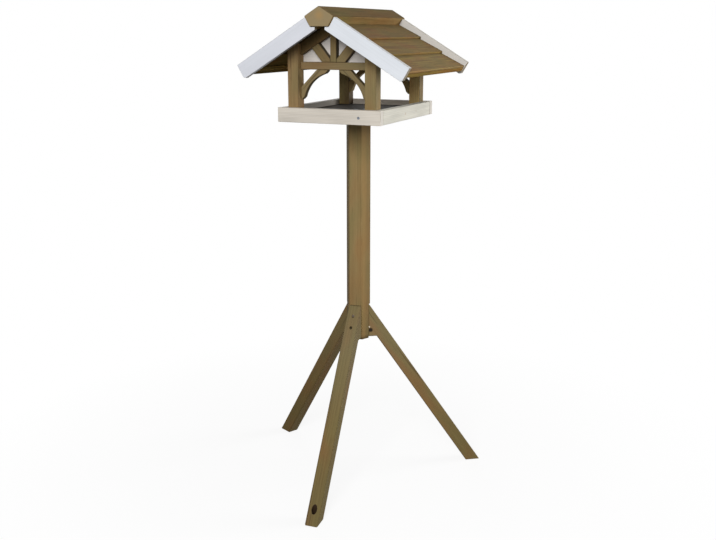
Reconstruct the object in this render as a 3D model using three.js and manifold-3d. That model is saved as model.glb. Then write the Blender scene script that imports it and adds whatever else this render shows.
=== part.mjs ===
// Wooden bird table: a half-timbered feeding house under a lapped board roof, in a shallow
// tray, on a six-sided post with three splayed legs.
// Millimetres, +Z up. The origin is on the post's axis at ground level, the front gable faces
// -Y and the ridge runs along Y. Left and right are as seen from the front.

import * as THREE from 'three';
import { mergeVertices } from 'three/addons/utils/BufferGeometryUtils.js';
import Module from 'manifold-3d';

const wasm = await Module();
wasm.setup();

// Whole table
const degree = Math.PI / 180;
const trayTop = 1135;
const fit = 0.3;
const overrun = 5;
const easedEdge = 1;
const easedStock = 2.5;

// Stand: the post is six-sided, and each leg sits in a shallow housing in every second side
const standTurn = 4 * degree;
const postAcrossFlats = 65;
const housingDepth = 5;
const seatHeight = 104;
const heelRise = 3;
const legWidth = 38.5;
const legDepth = 37;
const legLean = 34 * degree;
const legReach = 393;
const pegHoleRadius = 7.5;
const pegHoleSetback = 26;

// Tray
const trayWidth = 304;
const trayLength = 408;
const rimHeight = 39;
const rimThickness = 21;
const floorThickness = 12;
const floorDrop = 14.5;
const rimScrewInset = 63;

// Feeding house: four corner posts and two half-timbered gables
const cornerPostSize = 33;
const frameThickness = 18.5;
const openingHeight = 115.9;
const tieDrop = 17.5;
const tieHeight = 20;
const kingWidth = 18;
const rafterDepth = 28.3;
const strutWidth = 24;
const strutRise = 50 * degree;
const strutFoot = 18;
const braceGap = 29;
const braceWidth = 25.5;
const braceNib = 14;
const braceScoop = 7.8;
const panelThickness = 4;
const panelLap = 12;

// Roof: run is measured down the slope from the ridge line, and depth square to the slope
const roofPitch = 31 * degree;
const gableOverhang = 46;
const beamTopFace = 49;
const beamSide = 30.5;
const beamProud = 5;
const plankThickness = 6;
const plankDepth = 15.5;
const plankLap = 18;
const planksPerSlope = 3;
const slopeLength = 289;
const eavesStripWidth = 22;
const eavesStripThickness = 12;
const bargeProud = 3;
const bargeWidth = 42;
const bargeThickness = 15;
const bargeDrop = 2;
const bargeCorner = 5;
const bargeTip = 14;

// Countersunk wood screws
const legScrew = { head: 4, shank: 2.5, cone: 3, bite: 17 };
const legScrewDrops = [30, 60];
const legScrewSinkShares = [0.15, 0.4];
const floorScrew = { head: 4, shank: 2.1, cone: 2.6, bite: 26 };
const postScrewCircle = 17;
const rimScrew = { head: 3.8, shank: 1.9, cone: 2.5, bite: 20 };
const arcSteps = 12;
const roundSteps = 16;

// Levels and faces worked out from the sizes above
const postApothem = postAcrossFlats / 2;
const legSeat = postApothem - housingDepth;
const legHead = (legReach - legSeat - fit) / Math.tan(legLean);
const legHeel = legHead - seatHeight;
const postBottom = legHeel - heelRise;
const floorTop = trayTop - floorDrop;
const floorBottom = floorTop - floorThickness;
const rimBottom = trayTop - rimHeight;
const houseHalfWidth = trayWidth / 2 - rimThickness - fit;
const houseHalfLength = trayLength / 2 - rimThickness - fit;
const innerHalfWidth = houseHalfWidth - cornerPostSize;
const frameInnerFace = houseHalfLength - cornerPostSize;
const roofHalfLength = trayLength / 2 + gableOverhang;
const plankExposure = (slopeLength - beamTopFace - fit) / planksPerSlope;
const plankTilt = Math.asin((plankThickness + fit) / plankExposure);
const plankWidth = plankExposure * Math.cos(plankTilt) + plankLap;
const rafterTop =
  plankDepth + plankWidth * Math.sin(plankTilt) + plankThickness * Math.cos(plankTilt) + fit;
const rafterBottom = rafterTop + rafterDepth;
const tieBottom = floorTop + openingHeight;
const tieTop = tieBottom + tieHeight;
const rafterFoot = tieTop + tieDrop;
const ridgeHeight =
  rafterFoot + innerHalfWidth * Math.tan(roofPitch) + rafterBottom / Math.cos(roofPitch);
const beamBottom = onSlope(beamTopFace, beamSide)[1];
const bargeLength = slopeLength + bargeProud;
const braceLeg = innerHalfWidth - fit - braceGap / 2;

const finishes = {
  timber: { color: '#866b43', roughness: 0.75, metalness: 0 },
  roofing: { color: '#7a6641', roughness: 0.8, metalness: 0 },
  whitePaint: { color: '#dcdee6', roughness: 0.6, metalness: 0 },
  creamWash: { color: '#d0cabf', roughness: 0.7, metalness: 0 },
  panel: { color: '#d8d6de', roughness: 0.7, metalness: 0 },
  darkBoard: { color: '#3f3b33', roughness: 0.85, metalness: 0 },
  steel: { color: '#8f9194', roughness: 0.4, metalness: 1 },
};

// A point of a roof slope, as [x, z], from its run and its depth
function onSlope(run, depth) {
  return [
    run * Math.cos(roofPitch) - depth * Math.sin(roofPitch),
    ridgeHeight - run * Math.sin(roofPitch) - depth * Math.cos(roofPitch),
  ];
}

// Height of the line that lies at one depth under the slope, at a distance x from the centre
function slopeHeight(x, depth) {
  return ridgeHeight - x * Math.tan(roofPitch) - depth / Math.cos(roofPitch);
}

function rectangle(x0, x1, y0, y1) {
  return [[x0, y0], [x1, y0], [x1, y1], [x0, y1]];
}

function mirrored(outline, side) {
  return outline.map(([x, z]) => [side * x, z]);
}

// What is left of a convex outline on the side of a line that its normal points away from
function trimmed(outline, point, normal) {
  const beyond = ([x, y]) => (x - point[0]) * normal[0] + (y - point[1]) * normal[1];
  const kept = [];
  outline.forEach((corner, i) => {
    const next = outline[(i + 1) % outline.length];
    const here = beyond(corner);
    const there = beyond(next);
    if (here <= 0) kept.push(corner);
    if (here < 0 !== there < 0 && here !== there) {
      const share = here / (here - there);
      kept.push([
        corner[0] + share * (next[0] - corner[0]),
        corner[1] + share * (next[1] - corner[1]),
      ]);
    }
  });
  return kept;
}

const slopeNormal = [Math.sin(roofPitch), Math.cos(roofPitch)];

// Cuts away what rises above the line at one depth under the right-hand slope
function underSlope(outline, depth) {
  return trimmed(outline, onSlope(0, depth), slopeNormal);
}

// Takes a small flat off each corner of a section
function easedSection(outline, size) {
  return outline.flatMap((corner, i) => {
    const before = outline[(i + outline.length - 1) % outline.length];
    const after = outline[(i + 1) % outline.length];
    return [before, after].map((other) => {
      const length = Math.hypot(other[0] - corner[0], other[1] - corner[1]);
      const share = size / length;
      return [
        corner[0] + share * (other[0] - corner[0]),
        corner[1] + share * (other[1] - corner[1]),
      ];
    });
  });
}

// A board's outline given its thickness, with the long edges of both faces eased
function board(outline, thickness, ease = easedEdge) {
  const shape = new THREE.Shape(outline.map(([x, y]) => new THREE.Vector2(x, y)));
  const geometry = new THREE.ExtrudeGeometry(shape, {
    depth: thickness - 2 * ease,
    bevelEnabled: ease > 0,
    bevelThickness: ease,
    bevelSize: ease,
    bevelOffset: -ease,
    bevelSegments: 1,
  });
  return geometry.translate(0, 0, ease);
}

// An upright prism on an outline in plan
function upright(outline, bottom, top, ease = 0) {
  return board(outline, top - bottom, ease).translate(0, 0, bottom);
}

// A piece whose outline is seen from the front, filling a depth from one y to another
function alongY(outline, y0, y1, ease = easedEdge) {
  return board(outline, y1 - y0, ease).rotateX(90 * degree).translate(0, y1, 0);
}

function solidOf(geometry) {
  const bare = geometry.clone();
  bare.deleteAttribute('normal');
  bare.deleteAttribute('uv');
  const merged = mergeVertices(bare);
  return new wasm.Manifold(new wasm.Mesh({
    numProp: 3,
    vertProperties: new Float32Array(merged.attributes.position.array),
    triVerts: new Uint32Array(merged.index.array),
  }));
}

// The first geometry with each of the others cut out of it
function cutBy(geometry, cutters) {
  const solid = cutters.reduce((left, cutter) => left.subtract(solidOf(cutter)), solidOf(geometry));
  const mesh = solid.getMesh();
  const cut = new THREE.BufferGeometry();
  cut.setAttribute('position', new THREE.BufferAttribute(mesh.vertProperties, mesh.numProp));
  cut.setIndex(new THREE.BufferAttribute(mesh.triVerts, 1));
  const flat = cut.toNonIndexed();
  flat.computeVertexNormals();
  return flat;
}

function named(name, geometry, finish) {
  const mesh = new THREE.Mesh(geometry, new THREE.MeshStandardMaterial(finishes[finish]));
  mesh.name = name;
  return mesh;
}

// A countersunk screw along Y with its head's flat top at the origin, facing +Y
function screwGeometry(screw, length) {
  const profile = [
    [0, -length],
    [screw.shank, screw.shank - length],
    [screw.shank, -screw.cone],
    [screw.head, 0],
    [0, 0],
  ];
  return new THREE.LatheGeometry(profile.map(([x, y]) => new THREE.Vector2(x, y)), roundSteps);
}

// The hole that such a screw is driven into, open above the head for its mouth's length
function screwHole(screw, length, mouth) {
  const profile = [
    [0, -length - fit],
    [screw.shank + fit, screw.shank - length],
    [screw.shank + fit, -screw.cone],
    [screw.head + fit, 0],
    [screw.head + fit, mouth],
    [0, mouth],
  ];
  return new THREE.LatheGeometry(profile.map(([x, y]) => new THREE.Vector2(x, y)), roundSteps);
}

// Turns a screw or its hole to face a direction and sets it at a point
function driven(geometry, point, facing) {
  const turn = new THREE.Quaternion().setFromUnitVectors(
    new THREE.Vector3(0, 1, 0),
    new THREE.Vector3(...facing),
  );
  return geometry.applyQuaternion(turn).translate(...point);
}

// Legs, in a frame whose X runs outward along the leg and whose origin is on the post's axis
const legSides = [
  { name: 'front', turn: -90 * degree },
  { name: 'right', turn: 30 * degree },
  { name: 'left', turn: 150 * degree },
];

function legOuterFace(height) {
  return legReach - height * Math.tan(legLean);
}

function legInnerFace(height) {
  return legOuterFace(height) - legDepth / Math.cos(legLean);
}

// The two screws of a leg are sunk in counterbored holes, square to the post
const legScrews = legScrewDrops.map((drop, i) => {
  const height = legHead - drop;
  const wood = legOuterFace(height) - legSeat - fit;
  const sink = wood * legScrewSinkShares[i];
  return {
    name: ['upper', 'lower'][i],
    point: [legOuterFace(height) - sink, 0, height],
    length: wood - sink + fit + legScrew.bite,
    mouth: sink + legDepth,
  };
});

const outward = [1, 0, 0];

function legScrewHoles() {
  return legScrews.map(({ length, mouth, point }) =>
    driven(screwHole(legScrew, length, mouth), point, outward));
}

// Side profile of a leg: a plumb cut against the post, a level heel just above the post's foot,
// and a foot cut level with the ground
function legGeometry() {
  const profile = [
    [legSeat + fit, legHead],
    [legSeat + fit, legHeel],
    [legInnerFace(legHeel), legHeel],
    [legInnerFace(0), 0],
    [legReach, 0],
  ];
  const leg = alongY(profile, -legWidth / 2, legWidth / 2, easedStock);
  const pegHole = new THREE.CylinderGeometry(
    pegHoleRadius, pegHoleRadius, 2 * legDepth + 2 * overrun, roundSteps);
  pegHole.rotateX(90 * degree).translate(legReach - pegHoleSetback, 0, legDepth);
  return cutBy(leg, [pegHole, ...legScrewHoles()]);
}

// Six-sided post, with a flat turned to each leg and one between each pair
function postGeometry(topScrews) {
  const corner = postApothem / Math.cos(30 * degree);
  const section = Array.from({ length: 6 }, (_, i) => {
    const angle = i * 60 * degree;
    return [corner * Math.cos(angle), corner * Math.sin(angle)];
  });
  const post = upright(easedSection(section, easedStock), postBottom, floorBottom - fit);
  const housingCuts = legSides.map(({ turn }) => {
    const plan = rectangle(legSeat, postApothem + overrun, -postAcrossFlats, postAcrossFlats);
    return upright(plan, postBottom - overrun, legHead + fit).rotateZ(turn);
  });
  const pilotHoles = legSides.flatMap(({ turn }) =>
    legScrewHoles().map((hole) => hole.rotateZ(turn)));
  return cutBy(post, [...housingCuts, ...pilotHoles, ...topScrews]);
}

// Three screws go down through the tray's floor into the top of the post
const postScrewLength = floorThickness + fit + floorScrew.bite;

function postScrewPoint(turn) {
  return [postScrewCircle * Math.cos(turn), postScrewCircle * Math.sin(turn), floorTop];
}

function postScrewHoles() {
  return legSides.map(({ turn }) =>
    driven(screwHole(floorScrew, postScrewLength, overrun), postScrewPoint(turn), [0, 0, 1]));
}

function stand() {
  const group = new THREE.Group();
  group.rotation.z = standTurn;
  group.add(named('post', postGeometry(postScrewHoles()), 'timber'));
  for (const { name, turn } of legSides) {
    const leg = new THREE.Group();
    leg.rotation.z = turn;
    leg.add(named(`leg_${name}`, legGeometry(), 'timber'));
    for (const screw of legScrews) {
      const body = driven(screwGeometry(legScrew, screw.length), screw.point, outward);
      leg.add(named(`leg_screw_${name}_${screw.name}`, body, 'steel'));
    }
    const down = driven(screwGeometry(floorScrew, postScrewLength), postScrewPoint(turn), [0, 0, 1]);
    group.add(leg, named(`post_screw_${name}`, down, 'steel'));
  }
  return group;
}

// Corners of the house, as seen from the front
const corners = ['front', 'rear'].flatMap((end, i) =>
  ['left', 'right'].map((side, j) => ({ name: `${end}_${side}`, end: 2 * i - 1, side: 2 * j - 1 })));

// One screw comes up through the tray's floor into the foot of each corner post
const houseScrewLength = floorThickness + fit + floorScrew.bite;

function houseScrewPoint({ end, side }) {
  const inset = cornerPostSize / 2;
  return [side * (houseHalfWidth - inset), end * (houseHalfLength - inset), floorBottom];
}

function houseScrewHole(corner) {
  const hole = screwHole(floorScrew, houseScrewLength, overrun);
  return driven(hole, houseScrewPoint(corner), [0, 0, -1]);
}

// The floor is held at half the rim's height by a screw through each end board. The rear
// board is the front one turned round.
const rimScrewLength = rimThickness + fit + rimScrew.bite;

function rimScrewPoint(end) {
  const offset = trayWidth / 2 - rimScrewInset;
  return [-end * offset, end * trayLength / 2, floorBottom + floorThickness / 2];
}

function rimScrewHole(end) {
  return driven(screwHole(rimScrew, rimScrewLength, overrun), rimScrewPoint(end), [0, end, 0]);
}

function tray() {
  const group = new THREE.Group();
  const floorPlan = rectangle(-houseHalfWidth, houseHalfWidth, -houseHalfLength, houseHalfLength);
  const floor = cutBy(upright(floorPlan, floorBottom, floorTop), [
    ...postScrewHoles().map((hole) => hole.rotateZ(standTurn)),
    ...corners.map(houseScrewHole),
    rimScrewHole(-1),
    rimScrewHole(1),
  ]);
  group.add(named('tray_floor', floor, 'darkBoard'));

  for (const [name, end] of [['front', -1], ['rear', 1]]) {
    const face = rectangle(-trayWidth / 2, trayWidth / 2, rimBottom, trayTop);
    const outer = end * trayLength / 2;
    const inner = outer - end * rimThickness;
    const rim = alongY(face, Math.min(outer, inner), Math.max(outer, inner));
    group.add(named(`tray_rim_${name}`, cutBy(rim, [rimScrewHole(end)]), 'creamWash'));
    const screw = driven(screwGeometry(rimScrew, rimScrewLength), rimScrewPoint(end), [0, end, 0]);
    group.add(named(`rim_screw_${name}`, screw, 'steel'));
  }

  for (const [name, side] of [['left', -1], ['right', 1]]) {
    const section = rectangle(trayWidth / 2 - rimThickness, trayWidth / 2, rimBottom, trayTop);
    const eased = easedSection(mirrored(section, side), easedEdge);
    const rim = alongY(eased, -houseHalfLength, houseHalfLength, 0);
    group.add(named(`tray_rim_${name}`, rim, 'creamWash'));
  }

  for (const corner of corners) {
    const body = screwGeometry(floorScrew, houseScrewLength);
    const screw = driven(body, houseScrewPoint(corner), [0, 0, -1]);
    group.add(named(`house_screw_${corner.name}`, screw, 'steel'));
  }
  return group;
}

// A corner post stands on the tray's floor and is cut to the rafters' slope at its top
function cornerPostGeometry(corner) {
  const { end, side } = corner;
  const front = rectangle(innerHalfWidth, houseHalfWidth, floorTop + fit, ridgeHeight);
  const outline = mirrored(underSlope(front, rafterTop), side);
  const faces = [end * frameInnerFace, end * houseHalfLength];
  return cutBy(alongY(outline, Math.min(...faces), Math.max(...faces)), [houseScrewHole(corner)]);
}

// King post, cut to a point that fits up between the rafters
function kingPostOutline() {
  const half = kingWidth / 2;
  const right = underSlope(rectangle(0, half, tieTop + fit, ridgeHeight), rafterBottom + fit);
  const [tip, ...rest] = [...right].sort((a, b) => b[1] - a[1]);
  const shoulder = rest[0];
  return [[-half, tieTop + fit], [half, tieTop + fit], shoulder, tip, [-half, shoulder[1]]];
}

// Strut, scribed to the tie beam, the king post and the rafter
function strutOutline() {
  const along = [Math.cos(strutRise), Math.sin(strutRise)];
  const across = [-Math.sin(strutRise), Math.cos(strutRise)];
  const reach = ridgeHeight - tieTop;
  const foot = [strutFoot, tieTop];
  const corner = (length, offset) => [
    foot[0] + along[0] * length + across[0] * offset,
    foot[1] + along[1] * length + across[1] * offset,
  ];
  const half = strutWidth / 2;
  const bar = [corner(-reach, -half), corner(reach, -half), corner(reach, half), corner(-reach, half)];
  const onTie = trimmed(bar, [0, tieTop + fit], [0, -1]);
  const onKing = trimmed(onTie, [kingWidth / 2 + fit, 0], [-1, 0]);
  const inPosts = trimmed(onKing, [innerHalfWidth - fit, 0], [1, 0]);
  return underSlope(inPosts, rafterBottom + fit);
}

// Rafter, from the centre line under the ridge beam down to the corner post
function rafterOutline() {
  const blank = rectangle(fit / 2, innerHalfWidth - fit, tieTop, beamBottom - fit);
  const below = underSlope(blank, rafterTop);
  return trimmed(below, onSlope(0, rafterBottom), slopeNormal.map((part) => -part));
}

// Knee brace: a bar at 45 degrees between tie beam and post, with a shallow arc scooped out of
// its lower edge between two square nibs
function kneeBraceOutline() {
  const corner = [innerHalfWidth - fit, tieBottom - fit];
  const outerLeg = braceLeg - braceWidth * Math.SQRT2;
  const place = (across, down) => [corner[0] - across, corner[1] - down];
  const nib = braceNib * Math.SQRT1_2;
  const halfChord = braceLeg * Math.SQRT1_2 - braceNib;
  const radius = (halfChord ** 2 + braceScoop ** 2) / (2 * braceScoop);
  const centre = braceLeg / 2 + (radius - braceScoop) * Math.SQRT1_2;
  const halfAngle = Math.asin(halfChord / radius);
  const arc = Array.from({ length: arcSteps - 1 }, (_, i) => {
    const angle = 225 * degree + halfAngle * (1 - 2 * (i + 1) / arcSteps);
    return place(centre + radius * Math.cos(angle), centre + radius * Math.sin(angle));
  });
  return [
    place(outerLeg, 0),
    place(braceLeg, 0),
    place(braceLeg - nib, nib),
    ...arc,
    place(nib, braceLeg - nib),
    place(0, braceLeg),
    place(0, outerLeg),
  ];
}

// Panel nailed behind the gable's frame, with its edges on the tie beam, the rafters and the posts
function gablePanelOutline() {
  const halfWidth = innerHalfWidth + panelLap;
  const blank = rectangle(-halfWidth, halfWidth, tieTop - tieHeight / 2, beamBottom - fit);
  const right = underSlope(blank, rafterTop + rafterDepth / 2);
  return mirrored(underSlope(mirrored(right, -1), rafterTop + rafterDepth / 2), -1);
}

function gable(end) {
  const group = new THREE.Group();
  const name = end < 0 ? 'front' : 'rear';
  const faces = [end * frameInnerFace, end * (frameInnerFace + frameThickness)];
  const inFrame = (outline) => alongY(outline, Math.min(...faces), Math.max(...faces));
  const tie = rectangle(fit - innerHalfWidth, innerHalfWidth - fit, tieBottom, tieTop);
  group.add(named(`tie_beam_${name}`, inFrame(tie), 'timber'));
  group.add(named(`king_post_${name}`, inFrame(kingPostOutline()), 'timber'));
  for (const [sideName, side] of [['left', -1], ['right', 1]]) {
    const paired = (label, outline) =>
      group.add(named(`${label}_${name}_${sideName}`, inFrame(mirrored(outline, side)), 'timber'));
    paired('strut', strutOutline());
    paired('rafter', rafterOutline());
    paired('knee_brace', kneeBraceOutline());
  }
  const panelFaces = [end * (frameInnerFace - fit), end * (frameInnerFace - fit - panelThickness)];
  const panel = alongY(gablePanelOutline(), Math.min(...panelFaces), Math.max(...panelFaces), 0);
  group.add(named(`gable_panel_${name}`, panel, 'panel'));
  return group;
}

function house() {
  const group = new THREE.Group();
  for (const corner of corners) {
    group.add(named(`corner_post_${corner.name}`, cornerPostGeometry(corner), 'timber'));
  }
  group.add(gable(-1), gable(1));
  return group;
}

// Ridge beam with a section like a house front: two faces in line with the slopes, sides square
// to them and a flat bottom
function ridgeBeamGeometry() {
  const right = [onSlope(beamTopFace, 0), onSlope(beamTopFace, beamSide)];
  const left = mirrored(right, -1).reverse();
  const end = roofHalfLength + beamProud;
  return alongY([[0, ridgeHeight], ...right, ...left], -end, end);
}

// A flat piece of the roof's covering: from its lower edge up the slope for a width, with its
// top face starting at one depth and falling away by its tilt
function coveringSection(run, depth, tilt, width, thickness) {
  const at = (up, in_) => onSlope(
    run - up * Math.cos(tilt) + in_ * Math.sin(tilt),
    depth + up * Math.sin(tilt) + in_ * Math.cos(tilt),
  );
  return [at(0, 0), at(width, 0), at(width, thickness), at(0, thickness)];
}

// Each plank laps over the one below. The first is cut off against the ridge beam's side.
function plankSection(index) {
  const run = slopeLength - (planksPerSlope - 1 - index) * plankExposure;
  const section = coveringSection(run, plankDepth, plankTilt, plankWidth, plankThickness);
  const beamFace = onSlope(beamTopFace + fit, 0);
  return trimmed(section, beamFace, [-Math.cos(roofPitch), Math.sin(roofPitch)]);
}

// Strip that tilts the lowest plank and closes the eaves
function eavesStripSection() {
  const lower = plankThickness + fit;
  return coveringSection(
    slopeLength + lower * Math.sin(plankTilt),
    plankDepth + lower * Math.cos(plankTilt),
    plankTilt,
    eavesStripWidth,
    eavesStripThickness,
  );
}

// Barge board: its head is notched round the ridge beam, with a tip that runs on under the
// beam's flat bottom, and the lower corner of its foot is taken off
function bargeBoardOutline() {
  const headRun = beamTopFace + fit;
  const lowerEdge = bargeDrop + bargeWidth;
  const underBeam = beamBottom - fit;
  const notch = (ridgeHeight - headRun * Math.sin(roofPitch) - underBeam) / Math.cos(roofPitch);
  return [
    onSlope(headRun, bargeDrop),
    onSlope(bargeLength, bargeDrop),
    onSlope(bargeLength, lowerEdge - bargeCorner),
    onSlope(bargeLength - bargeCorner, lowerEdge),
    [bargeTip, slopeHeight(bargeTip, lowerEdge)],
    [bargeTip, underBeam],
    onSlope(headRun, notch),
  ];
}

function roof() {
  const group = new THREE.Group();
  group.add(named('ridge_beam', ridgeBeamGeometry(), 'timber'));
  const coverEnd = roofHalfLength - bargeThickness - fit;
  for (const [sideName, side] of [['left', -1], ['right', 1]]) {
    for (let index = 0; index < planksPerSlope; index += 1) {
      const section = mirrored(plankSection(index), side);
      const plank = alongY(section, -coverEnd, coverEnd, 0);
      group.add(named(`roof_plank_${sideName}_${index + 1}`, plank, 'roofing'));
    }
    const strip = alongY(mirrored(eavesStripSection(), side), -coverEnd, coverEnd, 0);
    group.add(named(`eaves_strip_${sideName}`, strip, 'roofing'));
    for (const [endName, end] of [['front', -1], ['rear', 1]]) {
      const faces = [end * roofHalfLength, end * (roofHalfLength - bargeThickness)];
      const outline = mirrored(bargeBoardOutline(), side);
      const barge = alongY(outline, Math.min(...faces), Math.max(...faces));
      group.add(named(`barge_board_${endName}_${sideName}`, barge, 'whitePaint'));
    }
  }
  return group;
}

const birdTable = new THREE.Group();
birdTable.add(stand(), tray(), house(), roof());

export default birdTable;
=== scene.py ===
# %% [markdown]
# A wooden bird table
#
# This lesson dresses a bird table: a half-timbered feeding house under a lapped board roof, in a
# shallow tray, on a six-sided post with three splayed legs. The construction comes as a fixed
# frame of plain solids at their real size. The lesson adds what the eye looks for in such a
# garden piece: sawn and planed pine with its rings and knots, stain that has soaked into the end
# grain, white paint worn thin along the edges, and zinc-plated screws.
#
# Everything is in metres, +Z is up, the front gable faces -Y and the ridge runs along Y.

# %% Load the frame
import math

import bpy
import numpy as np
from mathutils import Euler, Matrix, Vector


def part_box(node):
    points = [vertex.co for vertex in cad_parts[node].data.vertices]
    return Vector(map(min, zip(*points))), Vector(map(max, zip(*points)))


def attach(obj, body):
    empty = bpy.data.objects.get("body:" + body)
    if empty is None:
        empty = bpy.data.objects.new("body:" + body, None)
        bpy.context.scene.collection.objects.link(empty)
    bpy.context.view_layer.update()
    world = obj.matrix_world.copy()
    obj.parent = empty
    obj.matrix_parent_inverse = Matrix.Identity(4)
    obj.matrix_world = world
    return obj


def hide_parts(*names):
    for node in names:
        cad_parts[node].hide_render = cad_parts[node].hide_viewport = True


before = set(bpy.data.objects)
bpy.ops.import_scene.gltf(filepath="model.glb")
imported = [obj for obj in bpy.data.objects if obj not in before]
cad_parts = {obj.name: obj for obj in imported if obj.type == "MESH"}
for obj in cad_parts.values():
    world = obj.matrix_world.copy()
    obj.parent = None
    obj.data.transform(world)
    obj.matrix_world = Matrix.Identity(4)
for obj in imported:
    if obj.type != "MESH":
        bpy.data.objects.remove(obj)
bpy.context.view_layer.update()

MM = 0.001

# %% [markdown]
# Which way the wood runs
#
# A stick of timber is always cut along the tree, so its rings show as long streaks on its sides
# and as arcs on its ends. Each piece therefore needs its own direction. It could be set by hand
# in each material, but one table of families is shorter and forgets no piece. Most pieces follow
# an axis; rafters and barge boards follow the roof's pitch, the legs their lean, and the struts
# and knee braces their own rise. The directions are written for the right-hand piece, and the
# left-hand one is its mirror image.

# %% Directions
ACROSS, BACK, UP = Vector((1, 0, 0)), Vector((0, 1, 0)), Vector((0, 0, 1))
STAND_TURN, LEG_LEAN = 4, 34  # degrees, as are all angles that have a name in capitals
LEG_TURNS = {"front": STAND_TURN - 90, "right": STAND_TURN + 30, "left": STAND_TURN + 150}


def level(degrees):
    """The level direction at an angle from +X, anticlockwise from above."""
    return Vector((math.cos(math.radians(degrees)), math.sin(math.radians(degrees)), 0))


def rising(degrees):
    """The direction, seen from the front, that rises to the right by an angle."""
    return Vector((math.cos(math.radians(degrees)), 0, math.sin(math.radians(degrees))))


def mirrored(way):
    """The mirror image of a direction, left for right."""
    return Vector((-way.x, way.y, way.z))


print("the legs point at", LEG_TURNS, "degrees")

# %% Grain of the pieces
ROOF_PITCH, STRUT_RISE, BRACE_RISE = 31, 50, -45
GRAIN = {
    "roof_plank": BACK,
    "eaves_strip": BACK,
    "ridge_beam": BACK,
    "tray_floor": BACK,
    "tray_rim_left": BACK,
    "tray_rim_right": BACK,
    "tray_rim": ACROSS,
    "tie_beam": ACROSS,
    "gable_panel": ACROSS,
    "corner_post": UP,
    "king_post": UP,
    "post": UP,
    "barge_board": rising(-ROOF_PITCH),
    "rafter": rising(-ROOF_PITCH),
    "strut": rising(STRUT_RISE),
    "knee_brace": rising(BRACE_RISE),
}


def of_family(table, node, usual=None):
    """The entry of a table for the first family that a piece's name starts with."""
    return next((entry for name, entry in table.items() if node.startswith(name)), usual)


def leg_turn(node):
    """The angle, seen from above, that a leg points at."""
    return LEG_TURNS[node.removeprefix("leg_")]


def grain_of(node):
    """The direction of a piece's grain. A leg's runs outwards and down."""
    if node.startswith("leg_"):
        lean = math.radians(LEG_LEAN)
        return math.sin(lean) * level(leg_turn(node)) - math.cos(lean) * UP
    along = of_family(GRAIN, node)
    return mirrored(along) if "_left" in node else along


print("leg_front runs along", tuple(round(v, 2) for v in grain_of("leg_front")))

# %% [markdown]
# Helpers for materials
#
# Colours are written as the sRGB hex values that a colour picker shows, and one function turns
# them to the linear values that a renderer adds up. Another function adds a shader node: a value
# given for a socket is either a number or another node's output, which is then linked.
#
# A few patterns come back everywhere and stand on these. Tints are laid over one another like
# coats, each through its own mask. A mask lies round a point, a line or a plane, or on the faces
# that look one way. Such masks could be painted by hand on an unfolded surface, but a rule in
# space fits every piece and never shows a seam.

# %% Colour and node helpers
BLACK, WHITE = (0, 0, 0, 1), (1, 1, 1, 1)


def colour(hex_value, share=1.0):
    """A linear RGBA colour from an sRGB hex value such as '#866b43', times a share: one number,
    or one each for red, green and blue."""
    srgb = np.array([int(hex_value[i:i + 2], 16) for i in (1, 3, 5)]) / 255
    linear = np.where(srgb <= 0.04045, srgb / 12.92, ((srgb + 0.055) / 1.055) ** 2.4)
    return (*np.minimum(np.array(share) * linear, 1).tolist(), 1.0)


def fill_in(tree, node, sockets):
    """Sets or links a node's input sockets: a tuple in order, a dictionary by name or number."""
    for socket, value in sockets.items() if isinstance(sockets, dict) else enumerate(sockets):
        if isinstance(value, bpy.types.NodeSocket):
            tree.links.new(value, node.inputs[socket])
        else:
            node.inputs[socket].default_value = value


def add(tree, kind, sockets=(), out=None, **settings):
    """Adds a shader node, sets its properties and fills in its sockets. Returns the node, or the
    output named by out."""
    node = tree.nodes.new("ShaderNode" + kind)
    for name, value in settings.items():
        setattr(node, name, value)
    fill_in(tree, node, sockets)
    return node if out is None else node.outputs[out]


def maths(tree, operation, *values):
    """A sum, a product or another result of numbers."""
    return add(tree, "Math", values, 0, operation=operation)


def scaled(tree, vector, shares):
    """A vector or a colour times a share, or times one share for each axis."""
    return add(tree, "VectorMath", (vector, shares), 0, operation="MULTIPLY")


def ramp(tree, value, start, stop, low=0, high=1):
    """A number that goes from low to high while a value goes from its start to its stop."""
    return add(tree, "MapRange", (value, start, stop, low, high), 0)


def noise(tree, place, width, **more):
    """Smooth noise about 0.5, in spots of a width."""
    return add(tree, "TexNoise", {"Vector": place, "Scale": 1 / width, **more}, 0)


def new_material(name):
    """An empty material with one Principled shader, and its node tree."""
    material = bpy.data.materials.new(name)
    material.use_nodes = True
    tree = material.node_tree
    tree.nodes.clear()
    shader = add(tree, "BsdfPrincipled")
    output = add(tree, "OutputMaterial", {"Surface": shader.outputs["BSDF"]})
    output.is_active_output = True
    return material, tree, shader


print("stain brown is", [round(v, 3) for v in colour("#866b43")[:3]])


# %% Layers and masks
def layered(tree, base, *layers):
    """Lays tints over a base. Each layer is a mask from 0 to 1, the most that it covers, and its
    colour."""
    for mask, most, tint in layers:
        cover = maths(tree, "MULTIPLY", mask, most)
        base = add(tree, "Mix", {0: cover, 6: base, 7: tint}, 2, data_type="RGBA")
    return base


def near(tree, here, centre, inner, outer, weights=(1, 1, 1)):
    """A mask that falls from 1 to 0 between two distances from a point. With a weight of 0 along
    an axis, the distance is the one from a line or a plane through the point."""
    offset = add(tree, "VectorMath", (here, tuple(centre)), 0, operation="SUBTRACT")
    away = add(tree, "VectorMath", (scaled(tree, offset, weights),), "Value", operation="LENGTH")
    return ramp(tree, away, outer, inner)


def cosine_to(tree, normal, way):
    """The cosine of the angle between the way that a face looks and a direction."""
    return add(tree, "VectorMath", (normal, tuple(way)), "Value", operation="DOT_PRODUCT")


def facing(tree, normal, way, start=0.8, full=0.95):
    """A mask that rises from 0 to 1, between two such cosines, as a face turns to look along a
    direction."""
    return ramp(tree, cosine_to(tree, normal, way), start, full)


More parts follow.
